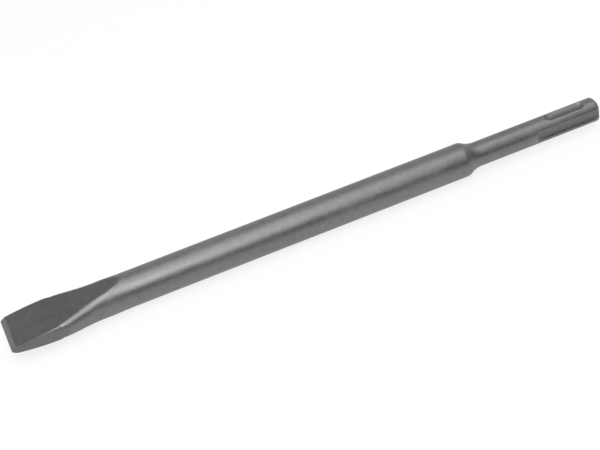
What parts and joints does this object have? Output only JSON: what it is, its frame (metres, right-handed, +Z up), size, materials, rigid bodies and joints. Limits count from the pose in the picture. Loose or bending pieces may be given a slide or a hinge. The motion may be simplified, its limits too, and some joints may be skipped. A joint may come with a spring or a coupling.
{
  "type": "flat chisel",
  "caption": "Steel flat chisel with a round body that spreads into a wedge blade, and a thinner shank with closed and open grooves for a rotary hammer.",
  "frame": {"origin": "under the middle of the whole length, on the surface that the round body lies on", "axes": "+X along the chisel towards the striking face, with the cutting edge at -X; +Z up, square to the blade's broad faces; Y across the width of the blade"},
  "size_m": [0.25, 0.02, 0.014],
  "materials": {
    "steel": "satin grey blasted steel, ground a little brighter along the cutting edge"
  },
  "bodies": {
    "root": {"chisel": "steel"}
  },
  "joints": []
}
